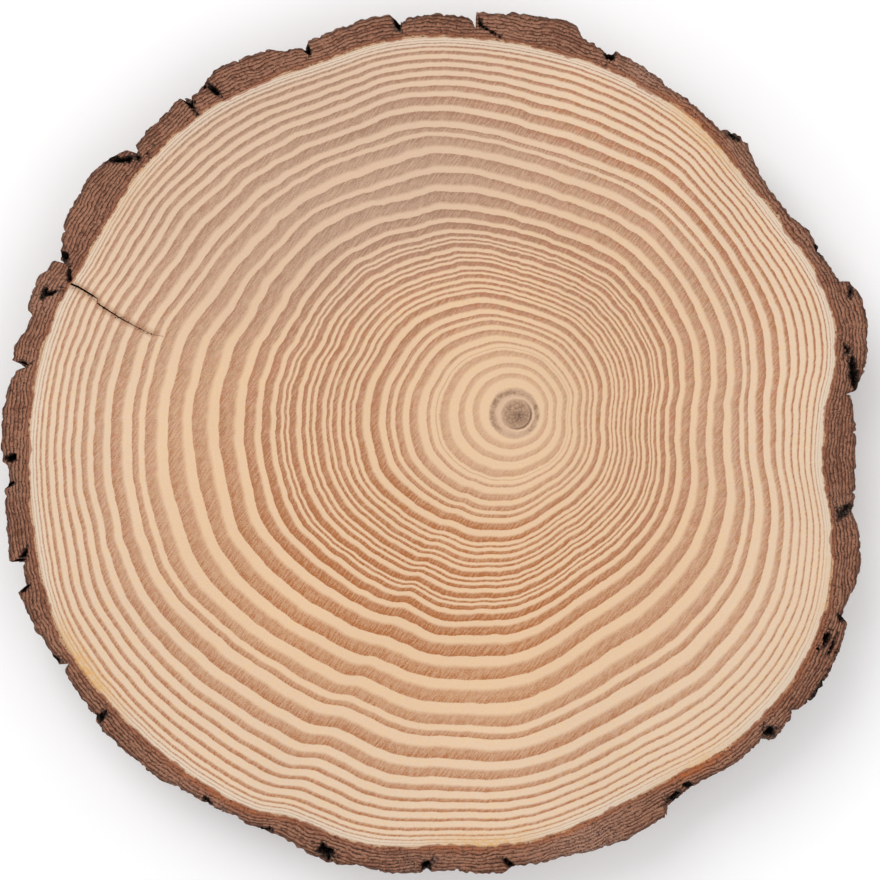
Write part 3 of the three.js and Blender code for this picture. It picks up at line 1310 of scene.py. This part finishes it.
@dataclass(frozen=True)
class Grain:
    """Fine grain and slow drifts of tone, on wood and bark alike."""

    def group(self) -> bpy.types.NodeTree:
        """Build the group.

        Returns:
            A group that gives a tone about 1 that multiplies a colour, and a height.
        """
        tree = open_group("grain", {"Place": None, "Fine": 0.05, "Slow": 0.04}, ("Tone", "Height"))
        nodes = Nodes(tree)
        given = nodes.add("NodeGroupInput")
        place = given.outputs["Place"]
        fine = nodes.noise(place, 2.2, 3.0, 0.65)
        slow = nodes.noise(place, 0.035, 2.0)
        total = nodes.math(
            "ADD",
            nodes.times(nodes.math("SUBTRACT", fine, 0.5), given.outputs["Fine"]),
            nodes.times(nodes.math("SUBTRACT", slow, 0.5), given.outputs["Slow"]),
        )
        tone = nodes.plus(1.0, nodes.times(total, 2.0))
        result = nodes.add("NodeGroupOutput")
        nodes.put(result.inputs["Tone"], tone)
        nodes.put(result.inputs["Height"], fine)
        return tree


class Sheen(Enum):
    """How rough each surface is."""

    SAWN_WOOD = 0.68
    BARK = 0.88
    FLOOR = 0.9


@dataclass(frozen=True)
class WoodFinish:
    """Bare sawn wood: cream early wood, brown late wood, dark pith and saw scratches, with painted shade
    in the crack and a painted highlight by the pith.
    """

    pith: tuple[float, float]
    early: tuple[int, int, int] = (232, 197, 161)
    early_rim: tuple[int, int, int] = (231, 204, 176)
    early_dull: tuple[int, int, int] = (221, 188, 161)
    early_gold: tuple[int, int, int] = (237, 200, 150)
    early_pink: tuple[int, int, int] = (232, 190, 164)
    sapwood: tuple[int, int, int] = (224, 211, 194)
    late: tuple[int, int, int] = (172, 124, 92)
    late_warm: tuple[int, int, int] = (174, 100, 42)
    late_dull: tuple[int, int, int] = (164, 126, 103)
    late_pink: tuple[int, int, int] = (186, 122, 98)
    late_rust: tuple[int, int, int] = (178, 112, 66)
    sap: tuple[int, int, int] = (222, 172, 108)
    bast: tuple[int, int, int] = (166, 108, 80)
    scratch: tuple[int, int, int] = (232, 192, 156)
    pith_wood: tuple[int, int, int] = (213, 177, 149)
    pith_ring: tuple[int, int, int] = (141, 107, 80)
    pith_core: tuple[int, int, int] = (158, 121, 95)
    pith_line: tuple[int, int, int] = (102, 70, 49)
    # Painted shade in the crack: brown on its walls and rim, near black down its middle.
    lip_shade: tuple[int, int, int] = (150, 96, 60)
    split: tuple[int, int, int] = (38, 22, 14)
    disc_shift: tuple[float, float] = (0.0, -1.2)
    core_shift: tuple[float, float] = (0.6, -1.3)
    heart_shift: tuple[float, float] = (1.1, -1.9)
    lower_shift: tuple[float, float] = (0.0, -8.0)
    right_shift: tuple[float, float] = (4.2, -4.0)

    def material(self, saw: bpy.types.NodeTree, grain: bpy.types.NodeTree) -> bpy.types.Material:
        """Build the material.

        Args:
            saw: The saw marks group.
            grain: The grain group.

        Returns:
            The material.
        """
        material = bpy.data.materials.new("sawn wood")
        material.use_nodes = True
        nodes = Nodes(material.node_tree)
        shader = material.node_tree.nodes["Principled BSDF"]
        place = nodes.place()
        marks = nodes.group(saw, place=place)
        flecks = nodes.group(grain, place=place, fine=0.12, slow=0.05)
        band = self.band(nodes, place, marks)
        colour = nodes.mix(band, self.early_wood(nodes, place), self.late_wood(nodes, place))
        light_scratch = nodes.times(marks.outputs["Scratch"], nodes.rise(band, 0.1, 0.8, 0.04, 0.34))
        colour = nodes.mix(light_scratch, colour, paint(*self.scratch))
        colour = self.with_rim(nodes, place, colour, band)
        colour = self.with_pith(nodes, place, colour)
        # Painted shade in the drying crack: brown over its walls and rim, near black down its middle,
        # ragged along its length.
        split = nodes.plus(nodes.hint("split"), nodes.swing(place, 1.6, 0.7, 3.0))
        colour = nodes.mix(nodes.rise(nodes.hint("split"), 0.05, 0.38, 0.0, 0.5), colour, paint(*self.lip_shade))
        colour = nodes.mix(nodes.rise(split, 0.45, 0.55), colour, paint(*self.split))
        tone = nodes.vector("MULTIPLY", colour, flecks.outputs["Tone"]).outputs[0]
        nodes.put(shader.inputs["Base Color"], tone)
        shader.inputs["Roughness"].default_value = Sheen.SAWN_WOOD.value
        shader.inputs["Specular IOR Level"].default_value = 0.3
        height = nodes.plus(marks.outputs["Height"], nodes.times(band, 0.5))
        height = nodes.plus(height, nodes.times(flecks.outputs["Height"], 0.5))
        bump = nodes.add("ShaderNodeBump")
        bump.inputs["Strength"].default_value = 0.5
        bump.inputs["Distance"].default_value = 0.08 * MM
        nodes.put(bump.inputs["Height"], height)
        nodes.put(shader.inputs["Normal"], bump.outputs["Normal"])
        return material

    def band(self, nodes: Nodes, place: Socket, marks: bpy.types.Node) -> Socket:
        """Work out how dark the late wood is, from 0 in early wood to 1.

        Args:
            nodes: The material's nodes.
            place: The point's place.
            marks: The saw marks.

        Returns:
            The darkness.
        """
        pace = nodes.hint("pace")
        shift = nodes.plus(nodes.swing(place, 1.6, 0.16, 3.0), nodes.swing(place, 0.3, 0.22))
        age = nodes.plus(nodes.hint("age"), nodes.times(shift, pace))
        share = nodes.math("FRACT", age)
        begins = nodes.math("SUBTRACT", 1.0, nodes.hint("late"))
        low = nodes.math("SUBTRACT", begins, 0.14)
        high = nodes.plus(begins, 0.11)
        broad = nodes.rise(share, low, high, 0.0, 0.78)
        edge = nodes.rise(share, 0.66, 0.92, 0.0, 0.22)
        stop = nodes.math("SUBTRACT", 1.0, nodes.times(pace, 0.32))
        stopping = nodes.rise(share, stop, 1.0, 1.0, 0.0)
        dark = nodes.times(nodes.plus(broad, edge), stopping)
        hatched = nodes.rise(marks.outputs["Hatch"], 0.0, 1.0, 0.76, 1.15)
        mottled = nodes.rise(nodes.noise(place, 2.6, 3.0, 0.75), 0.3, 0.7, 0.70, 1.28)
        toned = nodes.times(nodes.hint("tone"), nodes.times(hatched, mottled))
        return nodes.times(dark, toned)

    def early_wood(self, nodes: Nodes, place: Socket) -> Socket:
        """Return the colour of early wood: cream, paler to the rim and duller in places."""
        near_rim = nodes.rise(nodes.hint("depth"), 6.0, 52.0, 1.0, 0.0)
        cream = nodes.mix(near_rim, paint(*self.early), paint(*self.early_rim))
        golden = nodes.rise(nodes.noise(place, 0.9, 4.0, 0.7), 0.46, 0.66, 0.0, 0.55)
        cream = nodes.mix(golden, cream, paint(*self.early_gold))
        rosy = nodes.rise(nodes.noise(place, 1.5, 4.0, 0.7), 0.50, 0.68, 0.0, 0.6)
        cream = nodes.mix(rosy, cream, paint(*self.early_pink))
        dull = nodes.times(nodes.hint("warmth"), -1.4)
        return nodes.mix(dull, cream, paint(*self.early_dull))

    def late_wood(self, nodes: Nodes, place: Socket) -> Socket:
        """Return the colour of late wood: brown, orange-brown or dull pinkish brown."""
        warmth = nodes.hint("warmth")
        brown = nodes.mix(warmth, paint(*self.late), paint(*self.late_warm))
        pinker = nodes.rise(nodes.noise(place, 0.5, 4.0, 0.65), 0.45, 0.60, 0.0, 0.8)
        pinker = nodes.times(pinker, nodes.rise(warmth, 0.2, 1.0, 1.0, 0.1))
        brown = nodes.mix(pinker, brown, paint(*self.late_pink))
        rustier = nodes.rise(nodes.noise(place, 1.1, 4.0, 0.7), 0.48, 0.62, 0.0, 0.8)
        brown = nodes.mix(rustier, brown, paint(*self.late_rust))
        return nodes.mix(nodes.times(warmth, -1.6), brown, paint(*self.late_dull))

    def with_rim(self, nodes: Nodes, place: Socket, colour: Socket, band: Socket) -> Socket:
        """Pale the last years next to the bark, and yellow them where sap stains them.

        Args:
            nodes: The material's nodes.
            place: The point's place.
            colour: The colour so far.
            band: How dark the late wood is.

        Returns:
            The colour.
        """
        depth = nodes.plus(nodes.hint("depth"), nodes.swing(place, 0.8, 0.5))
        pale = nodes.times(nodes.rise(depth, 0.8, 4.0, 0.55, 0.0), nodes.rise(band, 0.0, 1.0, 1.0, 0.2))
        colour = nodes.mix(pale, colour, paint(*self.sapwood))
        stained = nodes.plus(nodes.hint("sap"), nodes.rise(depth, 0.1, 0.7, 0.2, 0.0))
        streaky = nodes.times(stained, nodes.rise(nodes.noise(place, 0.9), 0.3, 0.7, 0.5, 1.1))
        colour = nodes.mix(streaky, colour, paint(*self.sap))
        uneven = nodes.plus(nodes.swing(place, 0.14, 1.5), nodes.swing(place, 0.7, 0.6, 3.0))
        reddened = nodes.rise(nodes.plus(nodes.hint("depth"), uneven), 0.0, 0.3, 0.8, 0.0)
        return nodes.mix(reddened, colour, paint(*self.bast))

    def with_pith(self, nodes: Nodes, place: Socket, colour: Socket) -> Socket:
        """Lay the pith over the middle: a grey-brown ring round a darker, cracked core, with a painted
        highlight just outside the core's dark ring.

        Args:
            nodes: The material's nodes.
            place: The point's place.
            colour: The colour so far.

        Returns:
            The colour.
        """
        flat = nodes.vector("MULTIPLY", place, (1.0, 1.0, 0.0)).outputs[0]
        patchy = nodes.rise(nodes.noise(place, 0.5, 3.0), 0.35, 0.6, 0.45, 1.0)
        fine = nodes.rise(nodes.noise(place, 1.6, 4.0, 0.7), 0.35, 0.65, 0.5, 1.1)
        disc = self.away(nodes, flat, self.disc_shift)
        colour = nodes.mix(nodes.rise(disc, 6.5, 7.2, 0.75, 0.0), colour, paint(*self.pith_wood))
        lower = nodes.rise(self.away(nodes, flat, self.lower_shift), 2.0, 8.0, 0.35, 1.0)
        halo = nodes.times(self.ring(nodes, disc, 6.1, 1.3), nodes.times(patchy, fine))
        colour = nodes.mix(nodes.times(halo, lower), colour, paint(*self.pith_ring))
        core = self.away(nodes, flat, self.core_shift)
        shaded = nodes.times(nodes.rise(core, 3.2, 4.4, 0.85, 0.0), fine)
        colour = nodes.mix(shaded, colour, paint(*self.pith_core))
        right = nodes.rise(self.away(nodes, flat, self.right_shift), 2.5, 7.0, 1.0, 0.25)
        # Painted highlight: a pale line just outside the core's dark ring, strongest on the right.
        ring_highlight = nodes.times(self.ring(nodes, core, 4.7, 0.4), right)
        colour = nodes.mix(nodes.times(ring_highlight, 0.7), colour, paint(*self.early))
        line = nodes.times(self.ring(nodes, core, 4.0, 0.5), nodes.times(right, 0.8))
        heart = nodes.rise(self.away(nodes, flat, self.heart_shift), 0.3, 2.6, 0.85, 0.0)
        grainy = nodes.rise(nodes.noise(place, 1.3, 4.0, 0.7), 0.46, 0.62, 0.0, 0.5)
        grainy = nodes.times(grainy, nodes.rise(core, 2.6, 4.2, 1.0, 0.0))
        middle = nodes.times(heart, fine)
        dark = nodes.math("MAXIMUM", nodes.math("MAXIMUM", line, grainy), middle)
        return nodes.mix(dark, colour, paint(*self.pith_line))

    def away(self, nodes: Nodes, flat: Socket, shift: tuple[float, float]) -> Socket:
        """Return the slightly wavering distance from a point beside the pith."""
        centre = (self.pith[0] + shift[0], self.pith[1] + shift[1], 0.0)
        distance = nodes.vector("DISTANCE", flat, centre).outputs["Value"]
        return nodes.plus(distance, nodes.swing(flat, 0.5, 0.35))

    def ring(self, nodes: Nodes, away: Socket, radius: float, width: float) -> Socket:
        """Return a soft ring at a radius, 1 along its middle."""
        offset = nodes.math("ABSOLUTE", nodes.math("SUBTRACT", away, radius))
        return nodes.rise(offset, 0.15 * width, width, 1.0, 0.0)


@dataclass(frozen=True)
class BarkFinish:
    """Red-brown layered bark: wavy layers on the sawn ends, weathered flakes outside."""

    layer: float = 0.98
    brown: tuple[int, int, int] = (126, 80, 61)
    light: tuple[int, int, int] = (170, 120, 95)
    line: tuple[int, int, int] = (68, 41, 31)
    weathered: tuple[int, int, int] = (128, 100, 84)
    flake: tuple[int, int, int] = (150, 116, 94)
    shade: tuple[int, int, int] = (74, 48, 38)
    crust: tuple[int, int, int] = (80, 55, 46)
    bast: tuple[int, int, int] = (158, 100, 74)
    cambium: tuple[int, int, int] = (212, 172, 136)
    # Painted shade in the crevices: near black, with greyer patches.
    crevice_shade: tuple[int, int, int] = (33, 25, 21)
    crevice_grey: tuple[int, int, int] = (116, 98, 86)
    grit: tuple[int, int, int] = (186, 150, 132)
    fresh: tuple[int, int, int] = (190, 108, 62)

    def material(self, saw: bpy.types.NodeTree, grain: bpy.types.NodeTree) -> bpy.types.Material:
        """Build the material.

        Args:
            saw: The saw marks group.
            grain: The grain group.

        Returns:
            The material.
        """
        material = bpy.data.materials.new("bark")
        material.use_nodes = True
        nodes = Nodes(material.node_tree)
        shader = material.node_tree.nodes["Principled BSDF"]
        place = nodes.place()
        marks = nodes.group(saw, place=place)
        flecks = nodes.group(grain, place=place, fine=0.30, slow=0.14)
        # The layers' tone holds a painted highlight and shade across each layer.
        line, layer_tone_and_painted_light = self.layers(nodes, place)
        sawn = nodes.mix(layer_tone_and_painted_light, paint(*self.brown), paint(*self.light))
        sawn = nodes.mix(line, sawn, paint(*self.line))
        worn = nodes.rise(nodes.noise(place, 0.6, 3.0, 0.6), 0.3, 0.7, 0.35, 1.25)
        near_outside = nodes.rise(nodes.hint("shell"), 0.1, 1.6, 0.75, 0.0)
        sawn = nodes.mix(nodes.times(near_outside, worn), sawn, paint(*self.crust))
        sawn = nodes.mix(nodes.times(marks.outputs["Scratch"], 0.18), sawn, paint(*self.grit))
        sawn = self.with_cambium(nodes, place, sawn)
        outside = self.outside(nodes, place, line)
        colour = nodes.mix(nodes.hint("side"), sawn, outside)
        colour = self.with_patches(nodes, place, colour)
        tone = nodes.vector("MULTIPLY", colour, flecks.outputs["Tone"]).outputs[0]
        nodes.put(shader.inputs["Base Color"], tone)
        shader.inputs["Roughness"].default_value = Sheen.BARK.value
        shader.inputs["Specular IOR Level"].default_value = 0.2
        rough = nodes.plus(nodes.times(line, -0.8), flecks.outputs["Height"])
        bump = nodes.add("ShaderNodeBump")
        bump.inputs["Strength"].default_value = 0.8
        bump.inputs["Distance"].default_value = 0.5 * MM
        nodes.put(bump.inputs["Height"], rough)
        nodes.put(shader.inputs["Normal"], bump.outputs["Normal"])
        return material

    def layers(self, nodes: Nodes, place: Socket) -> tuple[Socket, Socket]:
        """Find the thin dark lines between the bark's layers.

        Args:
            nodes: The material's nodes.
            place: The point's place.

        Returns:
            How much of a line there is, and a tone for each layer that holds a painted highlight after
            each line, fading to painted shade before the next.
        """
        fine_wave = nodes.plus(nodes.swing(place, 0.5, 0.42), nodes.swing(place, 1.5, 0.13))
        wavy = nodes.plus(fine_wave, nodes.swing(place, 0.11, 1.9, 3.0))
        count = nodes.plus(nodes.math("DIVIDE", nodes.hint("rise"), self.layer), wavy)
        share = nodes.math("FRACT", count)
        strength = nodes.rise(nodes.noise(place, 0.7, 4.0, 0.65), 0.36, 0.56, 0.2, 1.0)
        closing = nodes.rise(share, 0.93, 1.0, 1.0, 0.0)
        line = nodes.times(nodes.times(nodes.rise(share, 0.5, 0.88), closing), strength)
        number = nodes.add("ShaderNodeTexWhiteNoise", noise_dimensions="1D")
        nodes.put(number.inputs["W"], nodes.math("FLOOR", count))
        each = nodes.times(number.outputs["Value"], 0.45)
        cloud = nodes.rise(nodes.noise(place, 0.9, 4.0, 0.7), 0.34, 0.66, -0.3, 0.8)
        # Painted highlight just past each line, fading to painted shade towards the next.
        highlight_to_shade = nodes.rise(share, 0.0, 1.0, 0.45, -0.35)
        broad = nodes.rise(nodes.noise(place, 0.05, 2.0), 0.35, 0.65, -0.25, 0.35)
        tone = nodes.plus(nodes.plus(each, cloud), nodes.plus(highlight_to_shade, broad))
        return line, tone

    def with_cambium(self, nodes: Nodes, place: Socket, colour: Socket) -> Socket:
        """Let the pale wood reach unevenly into the first of the bark.

        Args:
            nodes: The material's nodes.
            place: The point's place.
            colour: The colour so far.

        Returns:
            The colour.
        """
        uneven = nodes.plus(nodes.swing(place, 0.14, 1.5), nodes.swing(place, 0.7, 0.6, 3.0))
        height = nodes.math("SUBTRACT", nodes.hint("rise"), uneven)
        reddish = nodes.rise(height, 0.3, 1.8, 0.6, 0.0)
        colour = nodes.mix(reddish, colour, paint(*self.bast))
        return nodes.mix(nodes.rise(height, 0.0, 0.35, 1.0, 0.0), colour, paint(*self.cambium))

    def outside(self, nodes: Nodes, place: Socket, line: Socket) -> Socket:
        """Colour the weathered outside: grey-brown flakes, with painted shade in the low fissures.

        Args:
            nodes: The material's nodes.
            place: The point's place.
            line: The lines between layers, which show as the flakes' edges, painted as shade there.

        Returns:
            The colour.
        """
        upright = nodes.vector("MULTIPLY", place, (1.0, 1.0, 0.35)).outputs[0]
        cloud = nodes.rise(nodes.noise(upright, 0.45, 4.0, 0.6), 0.3, 0.7)
        colour = nodes.mix(cloud, paint(*self.brown), paint(*self.weathered))
        tips = nodes.rise(nodes.noise(upright, 1.1, 3.0, 0.6), 0.5, 0.75, 0.0, 0.7)
        colour = nodes.mix(tips, colour, paint(*self.flake))
        # Painted shade along the flakes' edges and in the fissures, where the outside lies low.
        colour = nodes.mix(nodes.times(line, 0.55), colour, paint(*self.shade))
        hollow = nodes.rise(nodes.hint("rise"), 1.5, 5.0, 0.75, 0.0)
        return nodes.mix(hollow, colour, paint(*self.shade))

    def with_patches(self, nodes: Nodes, place: Socket, colour: Socket) -> Socket:
        """Lay on the fresh orange next to the wood, the gritty patches and the painted shade in the
        crevices.

        Args:
            nodes: The material's nodes.
            place: The point's place.
            colour: The colour so far.

        Returns:
            The colour.
        """
        blotchy = nodes.rise(nodes.noise(place, 0.8, 3.0, 0.6), 0.35, 0.65, 0.35, 1.1)
        colour = nodes.mix(nodes.times(nodes.hint("fresh"), blotchy), colour, paint(*self.fresh))
        grains = nodes.rise(nodes.noise(place, 2.4, 3.0, 0.7), 0.48, 0.62)
        colour = nodes.mix(nodes.times(nodes.hint("grit"), grains), colour, paint(*self.grit))
        # Painted shade round and in the crevices: a dark brown halo, then near black with greyer patches.
        greyer_patches = nodes.rise(nodes.noise(place, 1.1, 4.0, 0.65), 0.47, 0.62, 0.0, 0.9)
        crevice_shade = nodes.mix(greyer_patches, paint(*self.crevice_shade), paint(*self.crevice_grey))
        ragged = nodes.plus(nodes.hint("crevice_shade"), nodes.swing(place, 1.7, 1.5, 4.0))
        colour = nodes.mix(nodes.rise(ragged, 0.1, 0.55, 0.0, 0.8), colour, paint(*self.shade))
        return nodes.mix(nodes.rise(ragged, 0.5, 0.85), colour, crevice_shade)


@dataclass(frozen=True)
class FloorFinish:
    """A plain pale floor."""

    shade: float = 0.97

    def material(self) -> bpy.types.Material:
        """Return the floor's material."""
        material = bpy.data.materials.new("floor")
        material.use_nodes = True
        shader = material.node_tree.nodes["Principled BSDF"]
        shader.inputs["Base Color"].default_value = (self.shade, self.shade, self.shade, 1.0)
        shader.inputs["Roughness"].default_value = Sheen.FLOOR.value
        shader.inputs["Specular IOR Level"].default_value = 0.1
        return material


@dataclass
class Studio:
    """The floor, the lights and the camera that looks straight down."""

    top: float
    floor_half: float = 4.0
    lens: float = 100.0
    sensor: float = 36.0
    view_width: float = 243.6
    view_centre: tuple[float, float] = (1.5, 0.8)
    sky: float = 0.69

    def build(self) -> None:
        """Set up the floor, the lights and the camera."""
        self.lay_floor()
        self.hang_light("key", (-0.55, 0.75, 1.15), 0.9, 7.0 * STUDIO_LIGHT)
        self.hang_light("fill", (0.8, -0.5, 1.3), 1.2, 3.0 * STUDIO_LIGHT)
        self.set_sky()
        self.set_camera()
        bpy.context.scene.view_settings.view_transform = "Standard"

    def lay_floor(self) -> None:
        """Lay the floor under the slice."""
        half = self.floor_half
        mesh = bpy.data.meshes.new("floor")
        corners = [(-half, -half, 0.0), (half, -half, 0.0), (half, half, 0.0), (-half, half, 0.0)]
        mesh.from_pydata(corners, [], [(0, 1, 2, 3)])
        floor = bpy.data.objects.new("floor", mesh)
        mesh.materials.append(FloorFinish().material())
        bpy.context.scene.collection.objects.link(floor)

    def hang_light(self, name: str, place: tuple[float, float, float], size: float, power: float) -> None:
        """Hang a large soft light that faces the slice.

        Args:
            name: The light's name.
            place: Where it hangs, in metres.
            size: Its side, in metres.
            power: Its power, in watts.
        """
        data = bpy.data.lights.new(name, "AREA")
        data.size = size
        data.energy = power
        light = bpy.data.objects.new(name, data)
        light.location = place
        towards = -Vector(place)
        light.rotation_euler = towards.to_track_quat("-Z", "Y").to_euler()
        bpy.context.scene.collection.objects.link(light)

    def set_sky(self) -> None:
        """Light the scene evenly from all round."""
        world = bpy.data.worlds.new("studio")
        world.use_nodes = True
        background = world.node_tree.nodes["Background"]
        background.inputs["Color"].default_value = (1.0, 1.0, 1.0, 1.0)
        background.inputs["Strength"].default_value = self.sky * STUDIO_LIGHT
        bpy.context.scene.world = world

    def set_camera(self) -> None:
        """Look straight down, with the slice filling the picture."""
        data = bpy.data.cameras.new("camera")
        data.lens = self.lens
        data.sensor_width = self.sensor
        camera = bpy.data.objects.new("camera", data)
        away = self.view_width * self.lens / self.sensor
        x, y = self.view_centre
        camera.location = (x * MM, y * MM, (self.top + away) * MM)
        bpy.context.scene.collection.objects.link(camera)
        bpy.context.scene.camera = camera


def finish_piece(piece: bpy.types.Object, material: bpy.types.Material, slot: str) -> None:
    """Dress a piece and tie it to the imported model.

    Args:
        piece: The piece.
        material: Its finish.
        slot: The record's material slot.
    """
    piece.data.materials.append(material)
    piece.data.shade_smooth()
    piece.data.set_sharp_from_angle(angle=math.radians(50.0))
    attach(piece, BODY)
    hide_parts(NODE)
    log.info("%s: %d vertices, slot %s", piece.name, len(piece.data.vertices), slot)


def main() -> None:
    """Build the slice, dress it and light it."""
    logging.basicConfig(level=logging.INFO, format="%(name)s: %(message)s")
    low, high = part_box(NODE)
    thickness = (high.z - low.z) / MM
    outline = Outline()
    pith = outline.pith()
    log.info("pith at %.2f, %.2f mm", *pith)
    saw = SawMarks().group()
    grain = Grain().group()
    wood = SawnWood(outline, thickness, pith).build()
    finish_piece(wood, WoodFinish(tuple(pith)).material(saw, grain), "wood")
    bark = Bark(outline, thickness, pith).build()
    finish_piece(bark, BarkFinish().material(saw, grain), "bark")
    Studio(top=high.z / MM).build()


if __name__ == "__main__":
    main()
